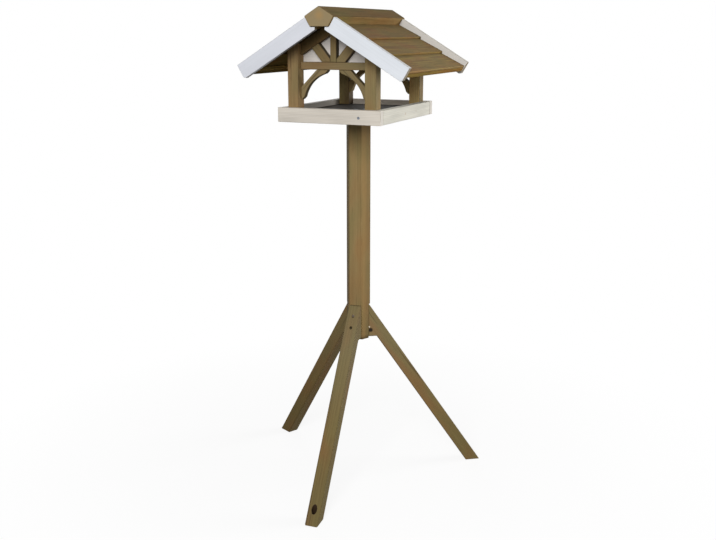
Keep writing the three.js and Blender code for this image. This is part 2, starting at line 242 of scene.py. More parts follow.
def squarely(tree, normal, way):
    """How squarely a face looks along a line, either way: the size of the angle's cosine."""
    return maths(tree, "ABSOLUTE", cosine_to(tree, normal, way))


print("patterns:", ", ".join(made.__name__ for made in (layered, near, facing, squarely)))

# %% [markdown]
# The inside of a pine tree
#
# Pine could be painted on with a streaky pattern, but then the streaks would break at every
# corner. Here the tree itself is described instead, as a pattern in space: rings round a heart
# that lies a few centimetres outside the stick, as in boards sawn from a small log. Wherever a
# face cuts the rings, the right figure appears by itself, on sides and on ends.
#
# Rings of pine are 3 to 5 mm wide, with a soft pale band and a thin hard dark one. Fibres are
# far finer than the render shows, so they are drawn about 2 mm apart. The stain has soaked deeper
# into some places than others, which gives a slow drift of colour.
#
# Knots are the roots of branches. They are drawn as small balls scattered through the wood, so a
# face that cuts one shows a dark round spot, and the rings bend round it. A few lie in places that
# the photograph shows, and these are listed by their piece in millimetres. As timber dries it
# opens in long hairline checks along the grain: they are the rare peaks of a noise that is
# stretched forty times along the stick.

# %% Sizes inside the tree
RING_WIDTH = 4.2 * MM
RINGS_OF_WAVE = math.pi / 10  # the distance in metres between a Wave texture's rings at scale 1
LATE_START, LATE_FULL = 0.35, 0.9  # where in a ring the dark band starts, and is darkest
STRETCH = 1 / 14  # what is left of a distance along the grain, so patterns run 14 times as long
FIBRE_WIDTH, FIBRE_DETAIL, FIBRE_ROUGHNESS = 2.0 * MM, 3.0, 0.6
STREAK_WIDTH = 9 * MM
DRIFT_WIDTH, DRIFT_STRETCH, DRIFT_DETAIL, DRIFT_SPAN = 45 * MM, 1 / 3, 1.0, 0.18
SWAY_WIDTH, SWAY_DEPTH = 60 * MM, 14 * MM
HEART_NEAR, HEART_FAR = 24 * MM, 75 * MM
HEART_SHARE = {"ridge_beam": 0.12}  # the beam is a whole small tree, so its heart lies inside
HEARTWOOD, HEARTWOOD_CORE = 16 * MM, 3.2 * MM
END_START, END_FULL = 0.6, 0.85  # cosines of a face's angle from the grain, for end grain
log = np.random.default_rng(20)
print("rings", round(RING_WIDTH / MM, 1), "mm wide, heart", HEART_NEAR, "to", HEART_FAR, "m away")

# %% Knots and checks
KNOT_SPACING, KNOT_RADIUS, KNOT_CORE = 105 * MM, 5 * MM, 0.6
KNOT_REACH, KNOT_PUSH = 22 * MM, 9 * MM  # how far off rings still bend, and by how much at most
KNOWN_KNOTS = {
    # The dark spot on the right leg is painted shade: a dead knot drawn where a gap between the
    # leg and the post lies in shade.
    "leg_right": [((39, 3, 458), 8)],
    "post": [((-16.5, -33.7, 942.5), 2.8)],
    "tray_rim_right": [((152, -20, 1114), 4), ((152, 65, 1115), 3)],
}
CHECK_WIDTH, CHECK_STRETCH, CHECK_DETAIL = 5 * MM, 1 / 40, 0.0
CHECK_START, CHECK_FULL = 0.775, 0.8  # only such peaks of the noise open a check
print("known knots:", sum(map(len, KNOWN_KNOTS.values())))

# %% Flats and arrises of the pieces
POST_FLATS = (30, 90, 150)
ON_FLAT, ON_ARRIS = 0.97, 0.9  # cosines of the angle from the nearest flat's direction


def centre_of(node):
    """The middle of a piece's box."""
    low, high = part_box(node)
    return (low + high) / 2


def flats_of(node):
    """The directions that the flat faces of a piece with chamfered edges look in, for the pieces
    that keep their CAD solid. Its chamfers look between these directions."""
    if node.startswith("leg_"):
        sideways = level(leg_turn(node) + 90)
        return [sideways, sideways.cross(grain_of(node)), level(leg_turn(node)), UP]
    if node == "post":
        return [level(STAND_TURN + angle) for angle in POST_FLATS] + [UP]
    if node.startswith("tray_rim"):
        return [ACROSS, BACK, UP]
    return []


def arris_of(tree, node, normal):
    """A mask that is 1 on rounded or chamfered edges and 0 on flat faces. The pieces made here
    carry it as an attribute. On a CAD solid it is found from the normal: it is 1 where that is
    far from every flat's direction."""
    flats = flats_of(node)
    if not flats:
        return add(tree, "Attribute", (), "Fac", attribute_name="arris")
    nearest = 0.0
    for flat in flats:
        nearest = maths(tree, "MAXIMUM", squarely(tree, normal, flat), nearest)
    return ramp(tree, nearest, ON_FLAT, ON_ARRIS)


print("the post has", 2 * len(POST_FLATS), "flats")


# %% Rings
def laid_in_tree(tree, node):
    """Lays a piece into its tree, whose heart lies at a random distance and bearing. Returns the
    place on the piece, the normal, and the place in the tree, whose Z runs along the grain."""
    turn = grain_of(node).rotation_difference(UP).to_matrix()
    reach, bearing = log.uniform(HEART_NEAR, HEART_FAR), log.uniform(0, math.tau)
    reach *= HEART_SHARE.get(node, 1)
    heart = Vector((reach * math.cos(bearing), reach * math.sin(bearing), log.uniform(0, 1)))
    source = add(tree, "TexCoord")
    here = source.outputs["Object"]
    stick = add(tree, "Mapping", {
        "Vector": here,
        "Location": heart - turn @ centre_of(node),
        "Rotation": turn.to_euler("XYZ"),
    }, 0)
    return here, source.outputs["Normal"], stick


def rings_of(tree, stick, stretched, from_knot):
    """The rings, from 0, pale, to 1, dark: circles round the heart, which sway with a slow noise
    and are pushed outwards near a knot."""
    sway = add(tree, "TexNoise", {"Vector": stretched, "Scale": 1 / SWAY_WIDTH}, "Color")
    swayed = add(tree, "VectorMath", (sway, (SWAY_DEPTH, SWAY_DEPTH, 0), stick), 0,
                 operation="MULTIPLY_ADD")
    push = ramp(tree, from_knot, KNOT_REACH, 0, 0, KNOT_PUSH)
    pushed = add(tree, "VectorMath", (swayed, push), 0)
    rings = add(tree, "TexWave", {"Vector": pushed, "Scale": RINGS_OF_WAVE / RING_WIDTH}, "Fac",
                wave_type="RINGS", rings_direction="Z", wave_profile="SAW")
    late = add(tree, "ValToRGB", {"Fac": rings})
    early, dark = late.color_ramp.elements
    early.position, early.color = LATE_START, BLACK
    dark.position, dark.color = LATE_FULL, WHITE
    late.color_ramp.elements.new(1.0).color = BLACK
    return late.outputs["Color"]


print("a ring's dark band starts at", LATE_START, "of its width")


# %% Pine in space
def pine(tree, node):
    """Adds the pattern of pine for one piece. Returns its sockets: rings from 0, pale, to 1, dark,
    fibres, streaks and drift as noise about 0.5, ends from 0 on a side to 1 on end grain, knots
    and checks from 0 to 1, and heartwood from 1 at the tree's heart to 0."""
    here, normal, stick = laid_in_tree(tree, node)
    drawn, drift_drawn, check_drawn = (
        scaled(tree, stick, (1, 1, share)) for share in (STRETCH, DRIFT_STRETCH, CHECK_STRETCH))
    drift = noise(tree, drift_drawn, DRIFT_WIDTH, Detail=DRIFT_DETAIL)
    splits = noise(tree, check_drawn, CHECK_WIDTH, Detail=CHECK_DETAIL)
    opened = ramp(tree, splits, CHECK_START, CHECK_FULL)

    apart = add(tree, "TexVoronoi", {"Vector": stick, "Scale": 1 / KNOT_SPACING}, "Distance")
    from_knot = maths(tree, "MULTIPLY", apart, KNOT_SPACING)
    round_knots = ramp(tree, from_knot, KNOT_RADIUS, KNOT_CORE * KNOT_RADIUS)
    known_spots = 0.0
    for centre, radius in KNOWN_KNOTS.get(node, []):
        ball = near(tree, here, Vector(centre) * MM, KNOT_CORE * radius * MM, radius * MM)
        known_spots = maths(tree, "MAXIMUM", known_spots, ball)

    ends = ramp(tree, squarely(tree, normal, grain_of(node)), END_START, END_FULL)
    sides = maths(tree, "SUBTRACT", 1.0, ends)
    return {
        "here": here,
        "normal": normal,
        "stick": stick,
        "rings": rings_of(tree, stick, drawn, from_knot),
        "fibres": noise(tree, drawn, FIBRE_WIDTH, Detail=FIBRE_DETAIL, Roughness=FIBRE_ROUGHNESS),
        "streaks": noise(tree, drawn, STREAK_WIDTH),
        "drift": drift,
        "redder": ramp(tree, drift, 0.5, 0.5 - DRIFT_SPAN),
        "greener": ramp(tree, drift, 0.5, 0.5 + DRIFT_SPAN),
        "ends": ends,
        "arris": arris_of(tree, node, normal),
        "knots": maths(tree, "MULTIPLY", round_knots, sides),
        "dead_knots_and_gap_shade": known_spots,
        "checks": maths(tree, "MULTIPLY", opened, sides),
        "heartwood": near(tree, stick, (0, 0, 0), HEARTWOOD_CORE, HEARTWOOD, (1, 1, 0)),
    }


print("knots are about", round(KNOT_SPACING / MM), "mm apart")

# %% [markdown]
# The colours of stained pine
#
# The posts, the legs and the gable timbers are planed softwood with a brown decorating stain over
# a green preservative. One brown for all of them would be quick, but no two boards take a stain
# alike. So each kind of timber has its own colours, and each family of pieces has a tone, which
# multiplies them: one number, or one each for red, green and blue. Many tones are painted light
# and shade as well: the gable timbers under the roof and the left leg are darker, as painted
# shade, the left front rafter darkest, as painted shadow of the overhang, the rear corner posts,
# the rear knee braces, the gable panels and the right rim are lighter, as painted light, and the
# rear barge boards are warmer, as painted light thrown back from the roof.
#
# The faces of one board are also lighter or darker by shares, by the direction that a face looks
# in. These shares are painted light and shade: the undersides of planks, strips and barge boards
# and the sides of the gable's king posts, struts and knee braces are painted shade, the butts of
# the planks and the sides of the ridge beam are painted light, and some faces of the posts, legs
# and rims are lighter or darker as painted light and shade.
#
# In each stain, pale and dark are the two bands of a ring, green and red the two ends of the
# drift, end the end grain, and edge the arrises, painted darker as shade, and on the roofing
# lighter as a painted highlight. Streak is how much lighter or darker a streak is, and rough is
# the roughness: wood without varnish is matt, at about 0.7.

# %% Stains
STAINS = {
    "timber": {"pale": "#8d784f", "dark": "#836e46", "green": "#80734a", "red": "#8b6e45",
               "end": "#7d6a42", "edge": "#54452c", "streak": 0.08, "rough": 0.68},
    "leg": {"pale": "#76653c", "dark": "#6c5a32", "green": "#70633a", "red": "#7a5c35",
            "end": "#2c2215", "edge": "#4b3e26", "streak": 0.1, "rough": 0.7},
    "beam": {"pale": "#57462a", "dark": "#47391f", "green": "#4f4627", "red": "#554024",
             "end": "#918060", "edge": "#64533a", "streak": 0.2, "rough": 0.7},
    "roofing": {"pale": "#7c6735", "dark": "#60492a", "green": "#6a5a31", "red": "#74522d",
                "end": "#6c5631", "edge": "#9a7a4a", "streak": 0.24, "rough": 0.74},
    "floor": {"pale": "#3f3a32", "dark": "#2f2c26", "green": "#3c3a33", "red": "#413930",
              "end": "#2f2c27", "edge": "#33302a", "streak": 0.15, "rough": 0.8},
}
# The dead-knot colour is also painted shade, for the gap between the right leg and the post.
KNOT_BROWN, DEAD_KNOT_AND_GAP_SHADE, CHECK_BROWN = "#43321d", "#150d06", "#2f2416"
# The soaked brown is soaked stain on end grain, and painted shade in the marks for the peg holes,
# the top of each leg's head and the foot of the rear left corner post.
HEART_ORANGE, SOAK_AND_SHADE_BROWN, BARE_WOOD, GREYED = "#a5824f", "#2a1c0c", "#e2d8c4", "#8f8a72"
SHEEN = {"ridge_beam": 0.05, "roof_plank_left": 0.0, "eaves_strip": 0.0, "post": 0.06}
USUAL_SHEEN = 0.2
# Painted shade: the darker edge tint of stained wood, where a rounded arris turns from the light.
# On the roof planks and strips the edge tint is lighter, a painted highlight.
ARRIS_SHADING_SHARE = {"post": 0.1, "roof_plank": 0.6, "eaves_strip": 0.6}
USUAL_ARRIS_SHADING_SHARE = 0.3
print("stains:", ", ".join(STAINS))

# %% Tones of the pieces
# Painted shade: the tones below 1 of the tie beams, king posts, struts, rafters, front knee braces
# and left leg. Painted light: the tones above 1 of the rear corner posts, rear knee braces, gable
# panels and right rim, and the warm tone of the rear barge boards.
TONES = {
    "post": (1.06, 1.05, 1.1), "leg_front": 0.95, "leg_right": (1.2, 1.22, 1.35),
    "leg_left": (0.77, 0.71, 0.6),
    "corner_post_front_right": (0.81, 0.86, 0.89), "corner_post_front_left": (0.88, 0.82, 0.86),
    "corner_post_rear": 1.25, "tie_beam": (0.73, 0.74, 0.81), "king_post": (0.64, 0.67, 0.67),
    "strut_front_right": (0.77, 0.75, 0.81), "strut": (0.62, 0.66, 0.68),
    "rafter_front_left": (0.38, 0.35, 0.27), "rafter": 0.8,
    "knee_brace_front_left": (0.8, 0.86, 0.97), "knee_brace_front_right": (0.69, 0.72, 0.79),
    "knee_brace_rear": 1.4, "gable_panel": (1.38, 1.36, 1.3),
    "barge_board_front_left": (0.92, 0.915, 0.9), "barge_board_front_right": (0.98, 0.99, 0.96),
    "barge_board_rear": (0.88, 0.82, 0.7), "tray_rim_right": (1.22, 1.28, 1.26),
    "roof_plank_left_1": (0.67, 0.65, 0.57), "roof_plank_right_1": (0.67, 0.65, 0.57),
    "roof_plank_left_2": (0.83, 0.81, 0.72), "roof_plank_right_2": (0.83, 0.81, 0.72),
    "roof_plank": (0.95, 0.98, 1.01),
}
print(len(TONES), "families have a tone of their own")

# %% Tones of single faces
DOWN_SLOPE, OFF_SLOPE = Vector((0.86, 0, -0.5)), Vector((0.5, 0, 0.86))  # of the right slope
# Painted light and shade: each share makes the faces that look along its direction lighter or
# darker, to stand in for how the light falls on them.
PAINTED_FACE_SHADING = {
    "post": ((level(-146), 0.43), (level(-26), 0.92)),
    "leg_front": ((level(4), 0.92),),
    "leg_left": ((level(-64), 0.9),),
    "corner_post_front_right": ((level(0), 1.25),),
    "corner_post_front_left": ((level(180), 1.35),),
    "corner_post_rear_right": ((level(-90), 2.35), (level(0), 0.68)),
    "corner_post_rear_left": ((level(-90), 0.95), (level(180), 0.4)),
    "roof_plank_left": ((DOWN_SLOPE, 2),),
    "roof_plank": ((-OFF_SLOPE, 0.5), (DOWN_SLOPE, 2)),
    "eaves_strip": ((-OFF_SLOPE, 0.75), (-DOWN_SLOPE, 1.9), (DOWN_SLOPE, 1.6)),
    "ridge_beam": ((DOWN_SLOPE, 3.2), (mirrored(DOWN_SLOPE), 3.2),
                   (OFF_SLOPE, 1.38), (mirrored(OFF_SLOPE), 1.38)),
    "barge_board": ((-OFF_SLOPE, 0.4),),
    "tray_rim_rear": ((level(-90), 2.6),),
    "tray_rim_left": ((level(180), 1.3),),
}
# Painted shade: the sides of the gable's king posts, struts and knee braces, which look across Y,
# are darker by these shares than their faces that look along Y.
PAINTED_SIDE_SHADE = {"king_post": 0.3, "strut": 0.4, "knee_brace": 0.5}
FRONT_ON, SIDE_ON = 0.7, 0.3  # cosines of the angle from the line that a planed face looks along


def tone_of(node):
    """The tone of a piece."""
    return of_family(TONES, node, 1.0)


def tints_of(recipe, node):
    """The colours of a stain or a coat, in the tone of a piece."""
    return {name: colour(value, tone_of(node)) for name, value in recipe.items()
            if isinstance(value, str)}


def toned(tree, node, normal, base, *shares):
    """Multiplies a colour by shares: the given ones, the painted light and shade by which the
    faces of the piece are lighter or darker than its usual tone, and the painted shade on the
    sides of gable timbers. The directions are those of the right-hand piece, and the left-hand one
    has their mirror image."""
    shares = list(shares)
    for way, share in of_family(PAINTED_FACE_SHADING, node, ()):
        mask = facing(tree, normal, mirrored(way) if "_left" in node else way)
        shares.append(ramp(tree, mask, 0, 1, 1, share))
    side_shade = of_family(PAINTED_SIDE_SHADE, node)
    if side_shade:
        shares.append(ramp(tree, squarely(tree, normal, BACK), FRONT_ON, SIDE_ON, 1, side_shade))
    for share in shares:
        base = scaled(tree, base, share)
    return base


print(len(PAINTED_FACE_SHADING), "families have faces of their own tone")

# %% [markdown]
# Marks of weather and damp
#
# Some marks belong to one place: the end grain at the foot of the post has drunk the stain, and
# the post and the legs are darker towards the foot. A painted shadow line runs along the top of
# each leg's head, painted shade darkens the holes for the ground pegs and the foot of the rear
# left corner post, the legs are greyed by the sun near their shoulder, and a splinter has broken
# out of the right leg. They could be drawn as decals, but a mask round a point or a level follows
# the wood over its edges.

# %% Marks
PEG_CIRCLE, SHOULDER = 367 * MM, 90 * MM
SPLINTER = Vector((35, 0, 468)) * MM
HEIGHT, UPRIGHT_LINE, INNER_EDGE = (0, 0, 1), (1, 1, 0), (1, 0, 0.5)  # weights of distances
# The marks for the peg holes, the top of each leg's head and the foot of the rear left corner post
# are painted shade. The post foot and leg foot marks make them darker towards the foot.
MARKS = {  # within how many mm a mark is full, where it ends, and the most that it covers
    "greyed shoulder": (20, 240, 0.2),
    "greyed right shoulder": (20, 240, 0.1),
    "darker leg foot": (20, 220, 0.12),
    "peg hole shade": (7.7, 8.5, 1),
    "leg head shadow": (1, 3, 0.8),
    "post end grain": (3, 12, 0.6),
    "post foot": (20, 250, 0.15),
    "foot in painted shade": (12, 34, 0.6),
    "splinter": (2, 4, 1),
}


def marks_of(tree, node, here):
    """The marks that single pieces bear, as layers."""
    low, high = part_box(node)

    def mark(name, centre, weights=(1, 1, 1), tint=colour(SOAK_AND_SHADE_BROWN)):
        inner, outer, most = MARKS[name]
        return near(tree, here, centre, inner * MM, outer * MM, weights), most, tint

    if node == "post":
        return [mark("post end grain", low, HEIGHT), mark("post foot", low, HEIGHT)]
    # Painted shade at the foot of the rear left corner post.
    if node == "corner_post_rear_left":
        return [mark("foot in painted shade", (high.x, high.y, low.z), INNER_EDGE)]
    if not node.startswith("leg_"):
        return []
    right = node == "leg_right"
    shoulder = "greyed right shoulder" if right else "greyed shoulder"
    marks = [
        mark(shoulder, high - SHOULDER * UP, HEIGHT, colour(GREYED, tone_of(node))),
        # darker towards the foot
        mark("darker leg foot", low, HEIGHT),
        # painted shade in the peg hole, and a painted shadow line at the top of the head
        mark("peg hole shade", PEG_CIRCLE * level(leg_turn(node)), UPRIGHT_LINE),
        mark("leg head shadow", high, HEIGHT),
    ]
    return marks + [mark("splinter", SPLINTER, tint=colour(BARE_WOOD))] if right else marks


print("marks:", ", ".join(MARKS))

# %% [markdown]
# Brown stained pine
#
# A stain is not a coat: it has no gloss of its own, it lets the rings show, and it goes dark where
# the wood drinks it in. So the colour is built in this order: pale and dark bands, a drift between
# a reddish and a greenish brown, streaks along the fibres, the painted light and shade of single
# faces, end grain, arrises painted darker as shade (on the roof lighter, as a painted highlight),
# marks, knots and checks. Rain has raised the hard rings a little.

# %% Stained pine
RING_RELIEF = 0.25 * MM
STAIN_RELIEF, COAT_RELIEF = 0.6, 0.2
FINE_SPAN = 0.28  # how far the sum of fibres and streaks strays from 1
COVERS = {"drift": 0.8, "ends": 0.9, "heartwood": 0.45, "knots": 0.7, "dead_knots_and_gap_shade": 0.97,
          "checks": 0.4}


def relief(tree, shader, wood, strength):
    """Raises the dark rings and fibres a little, as weather does, and shades the surface by it."""
    height = maths(tree, "ADD", wood["rings"], wood["fibres"])
    bump = {"Height": height, "Strength": strength, "Distance": RING_RELIEF}
    fill_in(tree, shader, {"Normal": add(tree, "Bump", bump, "Normal")})


def stained_pine(node, stain):
    """The stained pine of one piece."""
    recipe = STAINS[stain]
    look = tints_of(recipe, node)
    material, tree, shader = new_material(f"stained_pine_{node}")
    wood = pine(tree, node)
    drifted = layered(
        tree, look["pale"],
        (wood["rings"], 1, look["dark"]),
        (wood["redder"], COVERS["drift"], look["red"]),
        (wood["greener"], COVERS["drift"], look["green"]),
    )
    fine = maths(tree, "ADD", wood["fibres"], wood["streaks"])
    streak = recipe["streak"]
    streaks = ramp(tree, fine, 1 - FINE_SPAN, 1 + FINE_SPAN, 1 - streak, 1 + streak)
    streaked = toned(tree, node, wood["normal"], drifted, streaks)
    marked = layered(
        tree, streaked,
        (wood["ends"], COVERS["ends"], look["end"]),
        (wood["heartwood"], COVERS["heartwood"], colour(HEART_ORANGE)),
        # painted shade along the arrises, and a painted highlight on the roofing
        (wood["arris"], of_family(ARRIS_SHADING_SHARE, node, USUAL_ARRIS_SHADING_SHARE), look["edge"]),
        *marks_of(tree, node, wood["here"]),
        (wood["knots"], COVERS["knots"], colour(KNOT_BROWN)),
        (wood["dead_knots_and_gap_shade"], COVERS["dead_knots_and_gap_shade"], colour(DEAD_KNOT_AND_GAP_SHADE)),
        (wood["checks"], COVERS["checks"], colour(CHECK_BROWN)),
    )
    sheen = of_family(SHEEN, node, USUAL_SHEEN)
    fill_in(tree, shader, {
        "Base Color": marked, "Roughness": recipe["rough"], "Specular IOR Level": sheen})
    relief(tree, shader, wood, STAIN_RELIEF)
    return material


print("the most that each layer covers:", COVERS)

# %% [markdown]
# Paint and wash on pine
#
# The barge boards and the gable panels are painted white, and the tray's rims have a thinner
# cream wash. A plain white would look like plastic. Paint hides the colour of the wood but not
# its relief, so the same rings stay visible as faint ridges, and a little of their tone comes
# through where the coat is thin. Resin stains it faintly orange over the knots. Along the
# arrises the coat has worn off in patches and the wood shows, and the sawn ends of the barge
# boards have no paint at all. The faces that look up are greyed as painted shade, the inner
# faces of the rims are a darker grey as painted shade, and the shares of painted light and
# shade by face apply here too.
#
# In each coat, paint and thin are its two tones, wood what shows where it is worn, and cut what
# covers the sawn ends. Shows, uneven and wear are how much each of these is seen. An old matt
# paint has a roughness of about 0.5 to 0.6.

# %% Coats of paint
COATS = {
    "white_paint": {"paint": "#d5d8e1", "thin": "#ccced5", "wood": "#8d8069", "cut": "#7d6a41",
                    # the top tint is painted shade on the faces that look up
                    "top": "#a8a49c", "topped": 0.5, "wear": 0.6, "knots": 0.1, "rough": 0.5,
                    "shows": 0.35, "uneven": 0.03},
    "cream_wash": {"paint": "#d2cbc0", "thin": "#c0b5a4", "wood": "#a39377", "cut": "#dcd6cb",
                   # the inside tint is painted shade on the inner faces of the rims
                   "inside": "#787168", "soiled": 0.9, "wear": 0.4, "knots": 0.45, "rough": 0.62,
                   "shows": 0.6, "uneven": 0.12},
    "white_panel": {"paint": "#b6b2b0", "thin": "#a9a4a0", "wood": "#9a8f80", "cut": "#9a8f80",
                    "wear": 0.3, "knots": 0.2, "rough": 0.6, "shows": 0.55, "uneven": 0.05},
}
KNOT_ORANGE = "#b08a5a"
FIBRE_PART = 0.35
THIN_START, THIN_FULL = 0.2, 0.9
NOISE_LOW, NOISE_HIGH, BRIGHTEST = 0.3, 0.7, 1.02
WEAR_PATCH, PATCH_DETAIL, PATCH_ROUGHNESS = 9 * MM, 3.0, 0.65
WEAR_START, WEAR_FULL = 0.3, 0.55
TOP_START, TOP_FULL = 0.6, 0.8
INSIDE_START, INSIDE_FULL = 0.6, 0.9
print("coats:", ", ".join(COATS))


# %% Painted pine
def painted_pine(node, coat):
    """The painted or washed pine of one piece."""
    look = COATS[coat]
    tint = tints_of(look, node)
    material, tree, shader = new_material(f"{coat}_{node}")
    wood = pine(tree, node)
    normal = wood["normal"]
    grain = add(tree, "Mix", {0: FIBRE_PART, 2: wood["rings"], 3: wood["fibres"]}, 0)
    thin = ramp(tree, grain, THIN_START, THIN_FULL)
    clouded = layered(tree, tint["paint"], (thin, look["shows"], tint["thin"]))
    for cloud in (wood["drift"], wood["streaks"]):
        share = ramp(tree, cloud, NOISE_LOW, NOISE_HIGH, 1 - look["uneven"], BRIGHTEST)
        clouded = scaled(tree, clouded, share)
    patches = noise(
        tree, wood["stick"], WEAR_PATCH, Detail=PATCH_DETAIL, Roughness=PATCH_ROUGHNESS)
    rubbed = maths(tree, "MULTIPLY", wood["arris"], patches)
    bare = ramp(tree, rubbed, WEAR_START, WEAR_FULL)
    layers = [(wood[name], look["knots"], colour(KNOT_ORANGE)) for name in ("knots", "dead_knots_and_gap_shade")]
    # Painted shade: the faces that look up are greyed.
    if "top" in look:
        top = facing(tree, normal, UP, TOP_START, TOP_FULL)
        layers.append((top, look["topped"], tint["top"]))
    # Painted shade: the inner faces of the rims are a darker grey.
    if "inside" in look:
        inward = -centre_of(node)
        inward.z = 0
        inside = facing(tree, normal, inward.normalized(), INSIDE_START, INSIDE_FULL)
        layers.append((inside, look["soiled"], tint["inside"]))
    layers += [(wood["ends"], COVERS["ends"], tint["cut"]), (bare, look["wear"], tint["wood"])]
    finished = toned(tree, node, normal, layered(tree, clouded, *layers))
    fill_in(tree, shader, {"Base Color": finished, "Roughness": look["rough"]})
    relief(tree, shader, wood, COAT_RELIEF)
    return material


print("paint wears off in patches of about", round(WEAR_PATCH / MM), "mm")

# %% [markdown]
# Zinc-plated steel
#
# The screws are steel with a thin bright zinc plating that dulls outdoors to a soft blue grey. A
# smooth mirror-like metal would look like chrome, so a fine cloud between a bright and a dull tone
# breaks it up. The screws in the legs lie in counterbored holes, where stain has run over their
# heads and dulled them to a pinkish brown, so most of the metal's shine is gone from those.

# %% Zinc plating
ZINC_GRAIN = 0.8 * MM


def zinc_plate(name, bright, dull, metallic, rough):
    """Zinc-plated steel with a cloudy surface between a bright and a dull tone."""
    material, tree, shader = new_material(name)
    cloud = noise(tree, add(tree, "TexCoord", (), "Object"), ZINC_GRAIN)
    clouded = layered(tree, colour(bright), (cloud, 1, colour(dull)))
    fill_in(tree, shader, {"Base Color": clouded, "Metallic": metallic, "Roughness": rough})
    return material


ZINC = zinc_plate("zinc_plated_steel", "#9197a0", "#5d626a", metallic=0.85, rough=0.42)
STAINED_ZINC = zinc_plate("stained_zinc_plated_steel", "#84766a", "#5e5146", metallic=0.3,
                          rough=0.7)
print("made", ZINC.name, "and", STAINED_ZINC.name)

# %% [markdown]
# Reading an outline from the frame
#
# Every stick and board of the house and the roof is straight: an outline, seen from the front,
# that runs back along Y for the piece's thickness or length. The outline could be typed in again,
# but it is in the frame already, and what is read can't disagree. It is the loop of edges at the
# level where the piece has reached its full section, so only triangles of the sides are read, and
# the edges that lie in that level are chained end to end.
#
# The knee braces get one more touch: their scoop is hollowed a little deeper.

# %% Points and loops
CAD_EASE = 1 * MM  # behind the front face, where a solid with eased edges has its full section
TOUCH = 0.02 * MM  # points that are nearer than this are the same


def vertices_of(node):
    """The points of a CAD node's mesh, as an array."""
    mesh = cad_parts[node].data
    points = np.empty(len(mesh.vertices) * 3)
    mesh.vertices.foreach_get("co", points)
    return points.reshape(-1, 3)


def chained(edges):
    """Chains loose edges end to end into one loop of points. Ends that lie within a touch of one
    another are the same point."""
    keys = np.round(edges / TOUCH).astype(int)
    following = {}
    for (a, b), (start, end) in zip(keys.tolist(), edges):
        following.setdefault(tuple(a), {})[tuple(b)] = end
        following.setdefault(tuple(b), {})[tuple(a)] = start
    first = last = next(iter(following))
    here = next(iter(following[first]))
    loop = [following[first][here]]
    while here != first:
        step = next(key for key in following[here] if key != last)
        loop.append(following[here][step])
        last, here = here, step
    return np.array(loop)


print("a leg's solid has", len(vertices_of("leg_front")), "points")


# %% Outline of a straight piece
def front_outline(node):
    """The outline of a piece that runs along Y, as an array of x and z, anticlockwise as seen
    from the front: the edges of the side triangles at the level of the full section, chained."""
    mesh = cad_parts[node].data
    corners = np.empty(len(mesh.loops), int)
    mesh.loops.foreach_get("vertex_index", corners)
    triangles = vertices_of(node)[corners].reshape(-1, 3, 3)
    sides = triangles[np.ptp(triangles[:, :, 1], axis=1) > TOUCH]
    edges = sides[:, [[0, 1], [1, 2], [2, 0]]].reshape(-1, 2, 3)
    front = triangles[:, :, 1].min()
    for section in (front + CAD_EASE, front):
        flat = edges[np.all(np.abs(edges[:, :, 1] - section) < TOUCH, axis=1)][:, :, [0, 2]]
        if len(flat) > 2:
            break
    outline = chained(flat)
    x, z = outline.T
    area = np.sum(x * np.roll(z, -1) - z * np.roll(x, -1)) / 2
    return outline if area > 0 else outline[::-1]


print("a knee brace has", len(front_outline("knee_brace_front_right")), "points")

# %% Scoop of a knee brace
SCOOP, SCOOP_SHARE = 4.5 * MM, 0.78  # how much deeper, and over what share of the length


def scooped(outline, side):
    """The outline of a knee brace with its scoop hollowed deeper. A point's depth is its distance
    from the straight edge, and its station runs from -1 to 1 along the scoop. Points of the scoop
    move towards the straight edge by the scoop's extra depth times 1 minus the station squared."""
    mirror = np.array([1 if side == "right" else -1, 1])
    across = mirror * math.sqrt(0.5)
    depth = (outline @ across).max() - outline @ across
    along = outline @ (across * (1, -1))
    low, high = along[depth > 0].min(), along[depth > 0].max()
    station = (2 * along - low - high) / (high - low) / SCOOP_SHARE
    hollow = SCOOP * np.clip(1 - station ** 2, 0, 1) * (depth > TOUCH)
    return outline + hollow[:, None] * across


print("the scoop gains", SCOOP / MM, "mm")

# %% [markdown]
# A planed stick with soft arrises
#
# No sawn or planed timber has knife-sharp corners: the arrises are taken off with a few strokes,
# and use wears them further. A bevel modifier could do that, but a formula gives the exact
# surface and its exact shading. Think of a core outline, drawn in from the real one, and of a
# small arm that swings round it. Round a corner the arm turns with the outline; over the end of
# the stick it folds inwards. One parameter runs round the outline and the other along the stick.
#
# Where the arris is rounded, an attribute called arris rises to 1, so that the materials know
# where the worn paint and the painted shade and highlight of the arrises go. Thin boards have
# sharper arrises than posts, and on the pieces that rain and hands reach, the arm is also a
# little shorter here and there along the arris.

# %% Round the outline
CORNER_STEPS = 4


